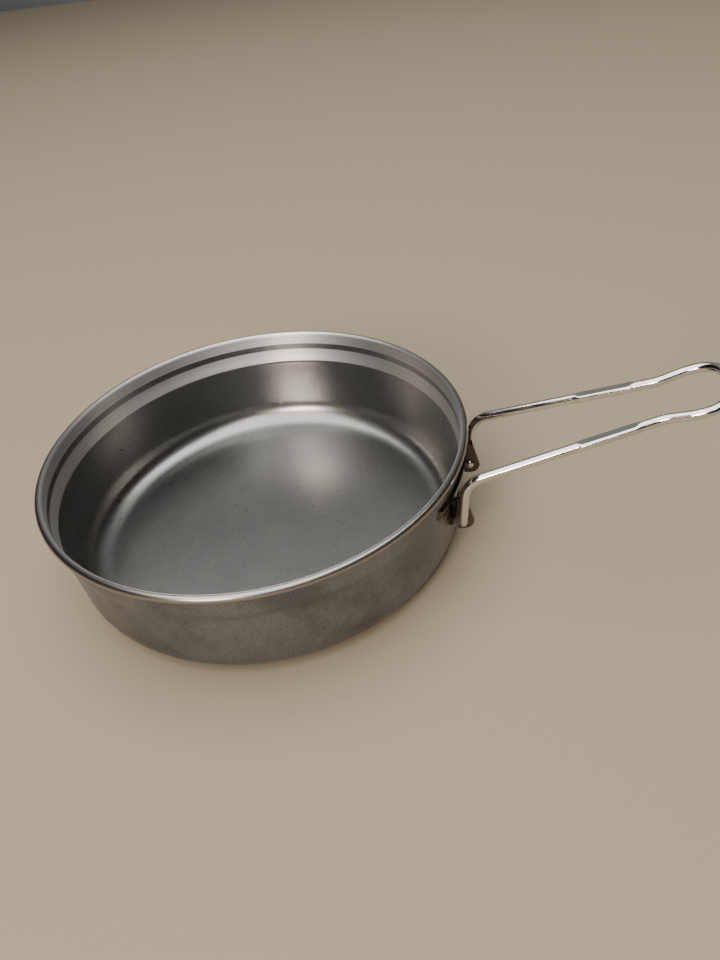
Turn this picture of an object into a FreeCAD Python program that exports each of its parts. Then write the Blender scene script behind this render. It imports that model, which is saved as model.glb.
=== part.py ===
import FreeCAD, Part
import math
import os
import re

import Sketcher

# A shallow camping frying pan that also serves as the lid of a nesting pot set.
# Three pieces: a deep-drawn sheet pan with a rolled rim, a pressed bracket that is
# spot-welded to its wall, and one bent wire that is the folding handle.
# Frame: millimetres, +Z up, origin at the centre of the underside of the base,
# and the handle points along +X.

# name, value, meaning
SIZES = (
    ("rim_radius", 70.0, "outside radius over the rolled bead"),
    ("pan_height", 38.5, "underside of the base to the top of the bead"),
    ("sheet", 0.6, "sheet thickness of the pan"),
    ("bead_radius", 1.2, "outside radius of the rolled bead's tube"),
    ("ledge_step", 1.1, "how far the collar stands out from the wall below it"),
    ("wall_draft", 1.6, "how far the wall leans out from the base plane to the ledge"),
    ("corner_radius", 9.5, "outside radius between wall and base"),
    ("ledge_drop", 7.0, "top of the bead down to the top of the ledge"),
    ("ledge_height", 6.5, "height of the ledge's S-curve"),
    ("wire_radius", 1.5, "handle wire"),
    ("pivot_out", 1.85, "pivot axis outward from the wall's shoulder"),
    ("pivot_drop", 21.0, "top of the bead down to the pivot axis"),
    ("pivot_play", 0.08, "radial clearance of the wire in its holes"),
    ("leg_play", 0.1, "straight wire left between each ear and the bend beside it"),
    ("stub_overhang", 0.7, "how far each wire end stands through its ear"),
    ("foot_inside", 0.4, "inside radius where a leg turns in to the pivot"),
    ("elbow_out", 1.4, "pivot axis out to the elbow's corner"),
    ("elbow_drop", 4.45, "top of the bead down to the elbow's corner"),
    ("elbow_bend", 8.0, "centreline radius of the elbow"),
    ("handle_tilt", 18.7, "rise of the handle, in degrees"),
    ("press_start", 33.3, "elbow's corner to the pressed flats, along the leg"),
    ("press_length", 17.7, "length of the pressed flats"),
    ("press_width", 3.5, "width of the wire where it is pressed"),
    ("press_height", 2.4, "height of the wire where it is pressed"),
    ("press_edge", 0.9, "radius of the long edges of the pressed flats"),
    ("neck_reach", 56.7, "elbow's corner to the narrow neck"),
    ("neck_half", 9.2, "half spread of the wire at the neck"),
    ("neck_bend", 12.0, "centreline radius where the legs open into the loop"),
    ("loop_start", 7.8, "neck to where the loop has opened out"),
    ("loop_half", 10.8, "half spread of the loop's end"),
    ("loop_length", 10.0, "opened part of the loop up to its end"),
    ("loop_bend", 7.5, "centreline radius of the loop's corners"),
    ("bracket_sheet", 1.0, "sheet thickness of the bracket"),
    ("ear_gap", 26.6, "clear distance between the ears"),
    ("ear_rise", 7.9, "pivot axis up to the ears' upper corner"),
    ("ear_lean", 1.35, "pivot axis out to the ears' upper corner"),
    ("ear_corner", 1.2, "radius of the ears' upper corner"),
    ("lug_radius", 3.4, "round end of each ear about the pivot"),
    ("bend_radius", 1.6, "inside radius between ear and plate"),
    ("plate_gap", 1.1, "ledge's top down to the plate's upper edge"),
    ("wing_width", 10.7, "plate beyond each ear's outer face"),
    ("wing_side", 3.6, "height of the plate's short upright sides"),
    ("plate_below", 3.9, "pivot axis down to the plate's lower edge"),
    ("plate_corner", 1.6, "radius of the plate's corners"),
    ("plate_taper", 13.0, "how much narrower each half is at the lower edge"),
    ("slot_width", 5.4, "width of each slot that an ear was cut from"),
    ("slot_runout", 1.0, "how far each slot's tool ran past the plate's lower edge"),
)

AXIS_X = FreeCAD.Vector(1, 0, 0)
AXIS_Y = FreeCAD.Vector(0, 1, 0)
AXIS_Z = FreeCAD.Vector(0, 0, 1)
# A sketch's own X and Y lie along the world's X and Z.
SIDE_VIEW = FreeCAD.Placement(FreeCAD.Vector(), FreeCAD.Rotation(AXIS_X, 90))
# A sketch's own X and Y lie along the world's Y and Z.
FRONT_VIEW = FreeCAD.Placement(FreeCAD.Vector(), FreeCAD.Rotation(AXIS_Y, AXIS_Z, AXIS_X, "ZXY"))

doc = FreeCAD.newDocument("camping_pan")


def make_sheet():
    """The driving dimensions, one alias a row."""
    sheet = doc.addObject("Spreadsheet::Sheet", "Sizes")
    for row, (name, value, meaning) in enumerate(SIZES, start=1):
        sheet.set("A%d" % row, meaning)
        sheet.set("B%d" % row, repr(value))
        sheet.setAlias("B%d" % row, name)
    doc.recompute()
    return sheet


def size(name):
    """The value of one driving dimension."""
    return float(sizes.get(name))


def bound(formula):
    """A formula of aliases, written so that an object's property can follow it."""
    return re.sub(r"[a-z_]+", lambda word: ("Sizes." if word[0] in ALIASES else "") + word[0],
                  formula)


def worth(formula):
    """The number that a formula of aliases gives now."""
    value = sizes.evalExpression(bound(formula))
    return float(getattr(value, "Value", value))


sizes = make_sheet()
ALIASES = {name for name, _, _ in SIZES}

# Shared places, as formulas of the sizes.
COLLAR_RADIUS = "(rim_radius - 2 * bead_radius + sheet)"
SHOULDER_RADIUS = "(rim_radius - 2 * bead_radius + sheet - ledge_step)"
FOOT_RADIUS = "(%s - wall_draft)" % SHOULDER_RADIUS
SHOULDER_HEIGHT = "(pan_height - ledge_drop - ledge_height)"
LEDGE_TOP = "(pan_height - ledge_drop)"
BEAD_REACH = "(rim_radius - bead_radius)"
BEAD_HEIGHT = "(pan_height - bead_radius)"
PIVOT_REACH = "(%s + pivot_out)" % SHOULDER_RADIUS
PIVOT_HEIGHT = "(pan_height - pivot_drop)"
EAR_FACE = "(ear_gap / 2 + bracket_sheet)"
FOOT_BEND = "(wire_radius + foot_inside)"
LEG_HALF = "(ear_gap / 2 + bracket_sheet + leg_play + wire_radius + foot_inside)"


class Outline:
    """A sketch drawn edge by edge, with each end held by formulas of the sizes."""

    def __init__(self, name, placement, across, up):
        self.sketch = doc.addObject("Sketcher::SketchObject", name)
        self.sketch.Placement = placement
        self.origin = (across, up)
        self.here = (across, up)
        self.tail = None

    def _follow(self, rule, formula):
        index = self.sketch.addConstraint(rule)
        self.sketch.setExpression("Constraints[%d]" % index, bound(formula))

    def _hold(self, edge, end, place):
        for kind, formula in zip(("DistanceX", "DistanceY"), place):
            value = worth(formula)
            if abs(value) < 1e-9:
                side = -2 if kind == "DistanceX" else -1
                self.sketch.addConstraint(Sketcher.Constraint("PointOnObject", edge, end, side))
            else:
                self._follow(Sketcher.Constraint(kind, -1, 1, edge, end, value), formula)

    def _add(self, curve, first, second, place):
        edge = self.sketch.addGeometry(curve, False)
        if self.tail is None:
            self._hold(edge, first, self.origin)
        else:
            rule = Sketcher.Constraint("Coincident", self.tail[0], self.tail[1], edge, first)
            self.sketch.addConstraint(rule)
        if place is not None:
            self._hold(edge, second, place)
            self.here = place
        self.tail = (edge, second)
        return edge

    def _point(self, place):
        return FreeCAD.Vector(worth(place[0]), worth(place[1]), 0)

    def line(self, across, up):
        """A straight edge to a place."""
        curve = Part.LineSegment(self._point(self.here), self._point((across, up)))
        self._add(curve, 1, 2, (across, up))
        return self

    def arc(self, across, up, radius, left=True):
        """A round edge to a place, turning left or right by up to half a circle."""
        start = self._point(self.here)
        end = self._point((across, up))
        chord = end - start
        reach = worth(radius)
        rise = math.sqrt(max(reach ** 2 - (chord.Length / 2) ** 2, 0.0))
        side = FreeCAD.Vector(-chord.y, chord.x, 0).normalize() * (1 if left else -1)
        middle = start + chord * 0.5 + side * (rise - reach)
        # A sketch keeps its arcs counter-clockwise, so a right turn starts at the arc's end.
        first, second = (1, 2) if left else (2, 1)
        edge = self._add(Part.Arc(start, middle, end), first, second, (across, up))
        if rise > 1e-6:
            self._follow(Sketcher.Constraint("Radius", edge, reach), radius)
        return self

    def close(self):
        """A straight edge back to the start."""
        curve = Part.LineSegment(self._point(self.here), self._point(self.origin))
        edge = self._add(curve, 1, 2, None)
        self.sketch.addConstraint(Sketcher.Constraint("Coincident", edge, 2, 0, 1))
        return self


def add(kind, name, **properties):
    """A document object: text starting with = is a formula, anything else a value."""
    made = doc.addObject(kind, name)
    for key, value in properties.items():
        if isinstance(value, str) and value.startswith("="):
            made.setExpression(key, bound(value[1:]))
        else:
            setattr(made, key, value)
    return made


def draw_wall(outline):
    """The wall's outside face, from the base corner's end up to the top of the ledge."""
    turn = "((ledge_step ^ 2 + ledge_height ^ 2) / (4 * ledge_step))"
    outline.line(SHOULDER_RADIUS, SHOULDER_HEIGHT)
    outline.arc("(%s + ledge_step / 2)" % SHOULDER_RADIUS,
                "(%s + ledge_height / 2)" % SHOULDER_HEIGHT, turn, left=False)
    outline.arc(COLLAR_RADIUS, LEDGE_TOP, turn, left=True)
    return outline


def make_pan():
    """One sheet: flat base, round corner, leaning wall, S-shaped ledge and rolled bead."""
    slant = "sqrt(%s ^ 2 + wall_draft ^ 2)" % SHOULDER_HEIGHT
    centre = "(%s + corner_radius * wall_draft / %s - corner_radius * %s / %s)" % (
        FOOT_RADIUS, SHOULDER_HEIGHT, slant, SHOULDER_HEIGHT)
    corner_out = "(%s + corner_radius * %s / %s)" % (centre, SHOULDER_HEIGHT, slant)
    corner_up = "(corner_radius - corner_radius * wall_draft / %s)" % slant
    roll = "(bead_radius - sheet)"
    outline = Outline("pan_line", SIDE_VIEW, "0", "0")
    outline.line(centre, "0")
    outline.arc(corner_out, corner_up, "corner_radius")
    draw_wall(outline)
    outline.line(COLLAR_RADIUS, BEAD_HEIGHT)
    outline.arc("(%s + %s)" % (BEAD_REACH, roll), BEAD_HEIGHT, roll, left=False)
    outline.arc(BEAD_REACH, "(%s - %s)" % (BEAD_HEIGHT, roll), roll, left=False)
    doc.recompute()
    section = add("Part::Offset2D", "pan_section", Source=outline.sketch, Mode=0,
                  Join=0, Fill=True, Value="=sheet")
    return add("Part::Revolution", "pan_shell", Source=section, Axis=AXIS_Z, Angle=360.0)


def prism(outline, name, direction, length):
    """A closed outline pushed out along a direction."""
    return add("Part::Extrusion", name, Base=outline.sketch, DirMode="Custom", Dir=direction,
               LengthFwd="=" + length, Solid=True)


def boolean(kind, name, first, second):
    """Two objects cut, fused or intersected."""
    return add("Part::" + kind, name, Base=first, Tool=second)


def make_plate():
    """The bracket's plate: it follows the wall and is trimmed to a winged outline."""
    line = draw_wall(Outline("plate_line", SIDE_VIEW, FOOT_RADIUS, "0"))
    doc.recompute()
    section = add("Part::Offset2D", "plate_section", Source=line.sketch, Mode=0,
                  Join=2, Fill=True, Value="=0 - bracket_sheet")
    band = add("Part::Revolution", "plate_band", Source=section, Axis=AXIS_Z, Angle=360.0)
    top = "(%s - plate_gap)" % LEDGE_TOP
    half = "(%s + wing_width)" % EAR_FACE
    foot = "(%s - plate_taper)" % half
    low = "(%s - plate_below)" % PIVOT_HEIGHT
    wings = Outline("plate_outline", FRONT_VIEW, "0 - " + foot, low)
    wings.line(foot, low).line(half, "(%s - wing_side)" % top).line(half, top)
    wings.line("0 - " + half, top).line("0 - " + half, "(%s - wing_side)" % top).close()
    block = prism(wings, "plate_prism", AXIS_X, "rim_radius")
    trimmed = rounded("plate_corners", block, "plate_corner", lies_along(AXIS_X))
    return boolean("Common", "plate", band, trimmed)


def make_ear(name, side):
    """One ear: a flat lug square to the pivot axis, rooted in the plate's thickness."""
    shape = Outline(name + "_outline", SIDE_VIEW, FOOT_RADIUS, "(%s - lug_radius)" % PIVOT_HEIGHT)
    lug = "(%s + lug_radius)" % PIVOT_REACH
    top_reach = "(%s + ear_lean)" % PIVOT_REACH
    top = "(%s + ear_rise)" % PIVOT_HEIGHT
    shape.line(PIVOT_REACH, "(%s - lug_radius)" % PIVOT_HEIGHT)
    shape.arc(lug, PIVOT_HEIGHT, "lug_radius")
    shape.line(top_reach, top)
    shape.line(FOOT_RADIUS, "(%s + ear_lean)" % top).close()
    solid = prism(shape, name + "_prism", AXIS_Y, "bracket_sheet")
    corner = FreeCAD.Vector(worth(top_reach), 0, worth(top))

    def at_corner(start, end, middle):
        return math.hypot(middle.x - corner.x, middle.z - corner.z) < 1e-4

    tab = rounded(name + "_tab", solid, "ear_corner", at_corner)
    start = "ear_gap / 2" if side > 0 else "0 - %s" % EAR_FACE
    tab.setExpression("Placement.Base.y", bound(start))
    return tab


def make_core():
    """Everything inside the middle of the plate's thickness: an ear starts at its surface."""
    line = Outline("core_line", SIDE_VIEW, "0", "0")
    deep = "(bracket_sheet / 2)"
    line.line("(%s + %s)" % (FOOT_RADIUS, deep), "0")
    line.line("(%s + %s)" % (SHOULDER_RADIUS, deep), SHOULDER_HEIGHT)
    line.line("(%s + %s)" % (COLLAR_RADIUS, deep), LEDGE_TOP).line("0", LEDGE_TOP).close()
    return add("Part::Revolution", "core", Source=line.sketch, Axis=AXIS_Z, Angle=360.0, Solid=True)


def make_slot(name, side):
    """The opening that an ear was cut out of: just inside that ear, and open below."""
    near = "(ear_gap / 2)" if side > 0 else "(0 - ear_gap / 2 + slot_width)"
    box = add("Part::Box", name, Length="=rim_radius", Width="=slot_width",
              Height="=ear_rise + plate_below + slot_runout")
    box.setExpression("Placement.Base.y", bound("%s - slot_width" % near))
    box.setExpression("Placement.Base.z", bound("%s - plate_below - slot_runout" % PIVOT_HEIGHT))
    return box


def rounded(name, solid, radius, takes):
    """A solid with a fillet on each edge whose two ends and middle suit takes()."""
    doc.recompute()
    picked = []
    for index, edge in enumerate(solid.Shape.Edges, start=1):
        middle = edge.valueAt((edge.FirstParameter + edge.LastParameter) / 2)
        if takes(edge.Vertexes[0].Point, edge.Vertexes[-1].Point, middle):
            picked.append((index, worth(radius), worth(radius)))
    made = add("Part::Fillet", name, Base=solid)
    made.Edges = picked
    return made


def lies_along(direction):
    """A test for straight edges that run along a direction."""
    return lambda start, end, middle: (end - start).cross(direction).Length < 1e-6


def make_bracket():
    """Winged plate with two bent-out ears, their slots and the pivot holes."""
    plate = make_plate()
    core = make_core()
    for name, side in (("slot_left", 1), ("slot_right", -1)):
        plate = boolean("Cut", name + "_cut", plate, make_slot(name, side))
    for name, side in (("ear_left", 1), ("ear_right", -1)):
        ear = boolean("Cut", name, make_ear(name, side), core)
        plate = boolean("Fuse", name + "_joined", plate, ear)
    doc.recompute()
    skin = doc.getObject("plate_band").Shape.Shells[0]

    def in_bend(start, end, middle):
        on_ear = abs(abs(middle.y) - worth(EAR_FACE)) < 1e-4
        return on_ear and skin.distToShape(Part.Vertex(middle))[0] < 1e-3

    bent = rounded("bends", plate, "bend_radius", in_bend)
    bore = add("Part::Cylinder", "pivot_bore", Radius="=wire_radius + pivot_play",
               Height="=2 * %s" % LEG_HALF)
    bore.Placement = FreeCAD.Placement(FreeCAD.Vector(), FreeCAD.Rotation(AXIS_X, 90))
    bore.setExpression("Placement.Base.x", bound(PIVOT_REACH))
    bore.setExpression("Placement.Base.y", bound(LEG_HALF))
    bore.setExpression("Placement.Base.z", bound(PIVOT_HEIGHT))
    return boolean("Cut", "handle_bracket", bent, bore)


def handle_frame():
    """Where the elbow's corner lies in the middle plane, and the handle's two directions."""
    corner = FreeCAD.Vector(worth("%s + elbow_out" % PIVOT_REACH), 0,
                            worth("pan_height - elbow_drop"))
    tilt = math.radians(size("handle_tilt"))
    along = FreeCAD.Vector(math.cos(tilt), 0, math.sin(tilt))
    upward = FreeCAD.Vector(-math.sin(tilt), 0, math.cos(tilt))
    return corner, along, upward


def wire_corners():
    """The wire's sharp centreline on the +Y side: a place and a bend radius for each corner."""
    corner, along, _ = handle_frame()
    stub = worth("ear_gap / 2 - stub_overhang")
    leg = worth(LEG_HALF)
    pivot = FreeCAD.Vector(worth(PIVOT_REACH), 0, worth(PIVOT_HEIGHT))
    opened = size("neck_reach") + size("loop_start")
    plan = (
        (size("neck_reach"), size("neck_half"), size("neck_bend")),
        (opened, size("loop_half"), size("neck_bend")),
        (opened + size("loop_length"), size("loop_half"), size("loop_bend")),
    )
    corners = [
        (pivot + AXIS_Y * stub, 0.0),
        (pivot + AXIS_Y * leg, worth(FOOT_BEND)),
        (corner + AXIS_Y * leg, size("elbow_bend")),
    ]
    corners += [(corner + along * reach + AXIS_Y * half, bend) for reach, half, bend in plan]
    return corners


def mirrored(point):
    """The same place on the other side of the pan."""
    return FreeCAD.Vector(point.x, -point.y, point.z)


def rounded_path(corners):
    """Straight edges between the corners, with a tangent arc at each bend radius."""
    edges = []
    here = corners[0][0]
    for index in range(1, len(corners) - 1):
        corner, bend = corners[index]
        inward = (corners[index - 1][0] - corner).normalize()
        outward = (corners[index + 1][0] - corner).normalize()
        half_angle = inward.getAngle(outward) / 2
        run = bend / math.tan(half_angle)
        start = corner + inward * run
        end = corner + outward * run
        centre = corner + (inward + outward).normalize() * (bend / math.sin(half_angle))
        middle = centre + (corner - centre).normalize() * bend
        edges.append(Part.LineSegment(here, start).toShape())
        edges.append(Part.Arc(start, middle, end).toShape())
        here = end
    edges.append(Part.LineSegment(here, corners[-1][0]).toShape())
    return Part.Wire(edges)


def make_flat(name, side):
    """One pressed length: a flat pad, and the two slabs that take off the round."""
    corner, along, upward = handle_frame()
    start = corner + AXIS_Y * (side * worth(LEG_HALF))
    neck = corner + along * size("neck_reach") + AXIS_Y * (side * size("neck_half"))
    lengthwise = (neck - start).normalize()
    turned = FreeCAD.Rotation(lengthwise, upward.cross(lengthwise), upward, "ZXY")
    base = start + lengthwise * size("press_start")
    blocks = []
    shapes = (("pad", "press_width", "press_height", "0 - press_height / 2"),
              ("over", "4 * wire_radius", "wire_radius", "press_height / 2"),
              ("under", "4 * wire_radius", "wire_radius", "0 - press_height / 2 - wire_radius"))
    for word, width, height, low in shapes:
        block = add("Part::Box", name + "_" + word, Length="=press_length", Width="=" + width,
                    Height="=" + height)
        shift = turned.multVec(FreeCAD.Vector(0, -worth(width) / 2, worth(low)))
        block.Placement = FreeCAD.Placement(base + shift, turned)
        blocks.append(block)
    return blocks


def make_handle():
    """One round wire, bent to a loop, its ends turned in, each leg pressed flat once."""
    half = wire_corners()
    corners = half + [(mirrored(point), bend) for point, bend in reversed(half)]
    path = doc.addObject("Part::Feature", "wire_path")
    path.Shape = rounded_path(corners)
    ring = add("Part::Circle", "wire_ring", Radius="=wire_radius")
    ring.Placement = FreeCAD.Placement(corners[0][0], FreeCAD.Rotation(AXIS_X, -90))
    wire = add("Part::Sweep", "wire_round", Sections=[ring], Solid=True, Frenet=False)
    wire.Spine = (path, [])
    for name, side in (("flat_left", 1), ("flat_right", -1)):
        pad, over, under = make_flat(name, side)
        lengthwise = pad.Placement.Rotation.multVec(AXIS_X)
        pad = rounded(name + "_pad_round", pad, "press_edge", lies_along(lengthwise))
        wire = boolean("Cut", name + "_top", wire, over)
        wire = boolean("Cut", name + "_bottom", wire, under)
        wire = boolean("Fuse", name, wire, pad)
    wire.Label = "handle_wire"
    return wire


def check_all():
    """Stop if any object failed, or has a missing or broken shape."""
    doc.recompute()
    for item in doc.Objects:
        if "Invalid" in item.State or "Error" in item.State:
            raise RuntimeError("%s did not build: %s" % (item.Name, item.State))
        if hasattr(item, "Shape") and (item.Shape.isNull() or not item.Shape.isValid()):
            raise RuntimeError("%s has a broken shape" % item.Name)


def write_parts(nodes):
    """One STEP file for each node, named as the node."""
    for name, item in nodes:
        item.Label = name
        item.Shape.exportStep("parts/%s.step" % name)


os.makedirs("parts", exist_ok=True)
NODES = (("pan_shell", make_pan()), ("handle_bracket", make_bracket()), ("handle_wire", make_handle()))
check_all()
write_parts(NODES)
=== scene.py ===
import logging
import math
from dataclasses import dataclass, field
from enum import IntEnum

import bpy
import numpy as np
from mathutils import Matrix, Vector
from numpy.typing import NDArray


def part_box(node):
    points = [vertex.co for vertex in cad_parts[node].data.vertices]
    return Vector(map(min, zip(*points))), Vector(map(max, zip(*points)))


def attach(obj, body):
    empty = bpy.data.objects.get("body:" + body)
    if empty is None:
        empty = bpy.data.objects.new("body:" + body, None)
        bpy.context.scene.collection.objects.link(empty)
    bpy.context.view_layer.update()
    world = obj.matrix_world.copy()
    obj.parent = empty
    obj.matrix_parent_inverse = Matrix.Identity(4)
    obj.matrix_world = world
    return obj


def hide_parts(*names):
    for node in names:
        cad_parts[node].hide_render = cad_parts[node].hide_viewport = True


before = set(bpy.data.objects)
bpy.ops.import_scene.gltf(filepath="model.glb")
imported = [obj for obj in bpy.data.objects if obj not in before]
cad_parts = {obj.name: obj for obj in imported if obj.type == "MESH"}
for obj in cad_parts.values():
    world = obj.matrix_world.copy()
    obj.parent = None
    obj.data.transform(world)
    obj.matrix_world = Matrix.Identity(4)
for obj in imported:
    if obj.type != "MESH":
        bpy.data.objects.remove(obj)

# A shallow camping frying pan: drawn and blasted titanium sheet with a rolled bead, a pressed
# bracket welded to its wall, and one bent wire as the folding handle. Lengths are in metres.

Points = NDArray[np.float64]
Numbers = NDArray[np.int64]
Colour = tuple[float, float, float, float]

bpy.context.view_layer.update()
PAN_LOW, PAN_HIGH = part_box("pan_shell")
MM = 0.001
# How far the bracket stands clear of the wall, so that the two skins never share one surface.
WELD_GAP = 0.01 * MM
log = logging.getLogger("camping_pan")


def linear(hex_colour: str) -> Colour:
    """A screen colour such as "B7B0A6" as linear light: each channel c gives ((c + 0.055) / 1.055)^2.4.

    Args:
        hex_colour: six hexadecimal digits, red first.

    Returns:
        Linear red, green and blue, and an alpha of one.
    """
    screen = np.array([int(hex_colour[k:k + 2], 16) for k in (0, 2, 4)]) / 255.0
    light = np.where(screen <= 0.04045, screen / 12.92, ((screen + 0.055) / 1.055) ** 2.4)
    return (float(light[0]), float(light[1]), float(light[2]), 1.0)


# ---------------------------------------------------------------------------------------------
# Lines and surfaces
# ---------------------------------------------------------------------------------------------


@dataclass
class Trace:
    """A line of points with the direction that points to one chosen side of it."""

    points: Points
    sides: Points

    @property
    def travel(self) -> Points:
        """Distance from the line's start to each point."""
        steps = np.linalg.norm(np.diff(self.points, axis=0), axis=1)
        return np.concatenate([[0.0], np.cumsum(steps)])


def rotate(vectors: Points, axis: Points, angles: Points) -> Points:
    """One vector turned about a unit axis by each angle: v cos a + (k x v) sin a + k (k.v)(1 - cos a).

    Args:
        vectors: the vector to turn, three numbers.
        axis: unit vector to turn about.
        angles: the angles, in radians.

    Returns:
        One turned vector for each angle.
    """
    cosine = np.cos(angles)[:, None]
    sine = np.sin(angles)[:, None]
    return vectors * cosine + np.cross(axis, vectors) * sine + axis * (axis @ vectors) * (1 - cosine)


def rounded_trace(corners: Points, bends: Points, side: Points, step: float, fine: float) -> Trace:
    """A line through sharp corners, each replaced by the arc that touches both its runs.

    An arc of radius r at a corner that turns by t starts r tan(t/2) before it. The side vector
    stays fixed along straight runs and turns with the line around each arc.

    Args:
        corners: the sharp corners in order, ends included, each x, y, z.
        bends: bend radius at each corner; the two ends aren't used.
        side: the side vector at the start.
        step: spacing along straight runs.
        fine: largest turn between neighbouring points of an arc, in radians.

    Returns:
        The sampled line.
    """
    runs = np.diff(corners, axis=0)
    aims = runs / np.linalg.norm(runs, axis=1)[:, None]
    points = [corners[:1]]
    sides = [side[None]]
    here = corners[0]
    for index in range(1, len(corners)):
        last = index == len(corners) - 1
        turn = 0.0 if last else math.acos(float(np.clip(aims[index - 1] @ aims[index], -1, 1)))
        back = bends[index] * math.tan(turn / 2)
        start = corners[index] - aims[index - 1] * back
        length = float(np.linalg.norm(start - here))
        count = max(2, math.ceil(length / step) + 1)
        share = np.linspace(0, 1, count)[1:, None]
        points.append(here + (start - here) * share)
        sides.append(np.repeat(sides[-1][-1:], count - 1, axis=0))
        if last:
            break
        axis = np.cross(aims[index - 1], aims[index])
        axis = axis / np.linalg.norm(axis)
        centre = start + np.cross(axis, aims[index - 1]) * bends[index]
        angles = np.linspace(0, turn, max(3, math.ceil(turn / fine) + 1))[1:]
        points.append(centre + rotate(start - centre, axis, angles))
        sides.append(rotate(sides[-1][-1], axis, angles))
        here = points[-1][-1]
    line = np.concatenate(points)
    away = np.concatenate(sides)
    keep = np.concatenate([[True], np.linalg.norm(np.diff(line, axis=0), axis=1) > 1e-9])
    return Trace(line[keep], away[keep])


@dataclass
class Skin:
    """Grids of points gathered into one mesh, each with its own pattern coordinates and slot."""

    name: str
    points: list[Points] = field(default_factory=list)
    faces: list[Numbers] = field(default_factory=list)
    places: list[Points] = field(default_factory=list)
    slots: list[Numbers] = field(default_factory=list)
    total: int = 0

    def add(self, corners: Points, faces: Numbers, places: Points, slots: Numbers) -> None:
        """Adds one patch.

        Args:
            corners: its vertices.
            faces: four vertex numbers for each face; a triangle repeats its last.
            places: four pattern coordinates for each face.
            slots: material slot of each face.
        """
        self.points.append(corners)
        self.faces.append(faces + self.total)
        self.places.append(places)
        self.slots.append(slots)
        self.total += len(corners)

    def rings(self, rings: Points, around: Points, along: Points, slots: Numbers) -> None:
        """A closed tube or bowl: row i is a ring, and the first and last rings end in a pole.

        Args:
            rings: grid of points, rows by columns by three; columns join up.
            around: pattern coordinate of each column, with one more for the seam.
            along: pattern coordinate of each row.
            slots: material slot of each band between two rows.
        """
        rows, columns, _ = rings.shape
        ends = np.stack([rings[0].mean(axis=0), rings[-1].mean(axis=0)])
        corners = np.concatenate([rings.reshape(-1, 3), ends])
        row, column = np.meshgrid(np.arange(rows - 1), np.arange(columns), indexing="ij")
        after = (column + 1) % columns
        quads = np.stack([row * columns + column, (row + 1) * columns + column,
                          (row + 1) * columns + after, row * columns + after], -1)
        across = np.stack([column, column, column + 1, column + 1], -1)
        down = np.stack([row, row + 1, row + 1, row], -1)
        self.add(corners, quads.reshape(-1, 4),
                 np.stack([around[across], along[down]], -1).reshape(-1, 4, 2),
                 np.repeat(slots, columns))
        here = np.arange(columns)
        beyond = (here + 1) % columns
        base = self.total - len(corners)
        last = (rows - 1) * columns
        for pole, pair, edge, slot in (
                (rows * columns, (here, beyond), along[0], slots[0]),
                (rows * columns + 1, (last + beyond, last + here), along[-1], slots[-1])):
            fan = np.stack([np.full(columns, pole), *pair, pair[1]], -1)
            place = np.stack([around[here], np.full(columns, edge)], -1)
            self.faces.append(fan + base)
            self.places.append(np.stack([place] * 4, 1))
            self.slots.append(np.full(columns, slot))

    def slab(self, front: Points, back: Points, wrap: bool = False, slot: int = 0) -> None:
        """A sheet between two matching grids of points, with its rim closed.

        Args:
            front: grid of points on the side whose row x column turn points outward.
            back: the matching grid on the other side.
            wrap: whether the columns join up, as around a hole.
            slot: material slot.
        """
        rows, columns, _ = front.shape
        number = np.arange(rows * columns).reshape(rows, columns)
        other = number + rows * columns
        if wrap:
            number = np.concatenate([number, number[:, :1]], axis=1)
            other = np.concatenate([other, other[:, :1]], axis=1)

        def band(first: Numbers, second: Numbers) -> Numbers:
            """Faces between two lines of vertices."""
            return np.stack([first[:-1], first[1:], second[1:], second[:-1]], -1)

        face = np.stack([number[:-1, :-1], number[:-1, 1:], number[1:, 1:], number[1:, :-1]], -1)
        under = np.stack([other[:-1, :-1], other[1:, :-1], other[1:, 1:], other[:-1, 1:]], -1)
        closed = [face.reshape(-1, 4), under.reshape(-1, 4),
                  band(other[0], number[0]), band(number[-1], other[-1])]
        if not wrap:
            closed += [band(number[:, 0], other[:, 0]), band(other[:, -1], number[:, -1])]
        faces = np.concatenate(closed)
        corners = np.concatenate([front.reshape(-1, 3), back.reshape(-1, 3)])
        places = corners[faces][..., 1:]
        self.add(corners, faces, places, np.full(len(faces), slot))

    def build(self, materials: list[bpy.types.Material], crease: float = 0.0) -> bpy.types.Object:
        """The mesh object, at the origin, with its pattern coordinates as a UV map.

        Args:
            materials: one for each slot.
            crease: edges that turn by more than this angle stay sharp; none if zero.

        Returns:
            The object, linked to the scene.
        """
        points = np.concatenate(self.points)
        faces = np.concatenate(self.faces)
        triangle = faces[:, 3] == faces[:, 2]
        keep = np.ones(faces.shape, bool)
        keep[triangle, 3] = False
        sizes = np.where(triangle, 3, 4)
        mesh = bpy.data.meshes.new(self.name)
        mesh.vertices.add(len(points))
        mesh.vertices.foreach_set("co", points.astype(np.float32).ravel())
        mesh.loops.add(int(sizes.sum()))
        mesh.loops.foreach_set("vertex_index", faces[keep].astype(np.int32))
        mesh.polygons.add(len(faces))
        starts = np.concatenate([[0], np.cumsum(sizes)[:-1]])
        mesh.polygons.foreach_set("loop_start", starts.astype(np.int32))
        mesh.polygons.foreach_set("material_index", np.concatenate(self.slots).astype(np.int32))
        mesh.update(calc_edges=True)
        layer = mesh.uv_layers.new(name="pattern")
        layer.uv.foreach_set("vector", np.concatenate(self.places)[keep].astype(np.float32).ravel())
        mesh.shade_smooth()
        if crease > 0:
            mesh.set_sharp_from_angle(angle=crease)
        for material in materials:
            mesh.materials.append(material)
        mesh.validate()
        piece = bpy.data.objects.new(self.name, mesh)
        bpy.context.scene.collection.objects.link(piece)
        return piece


# ---------------------------------------------------------------------------------------------
# Finishes
# ---------------------------------------------------------------------------------------------


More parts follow.
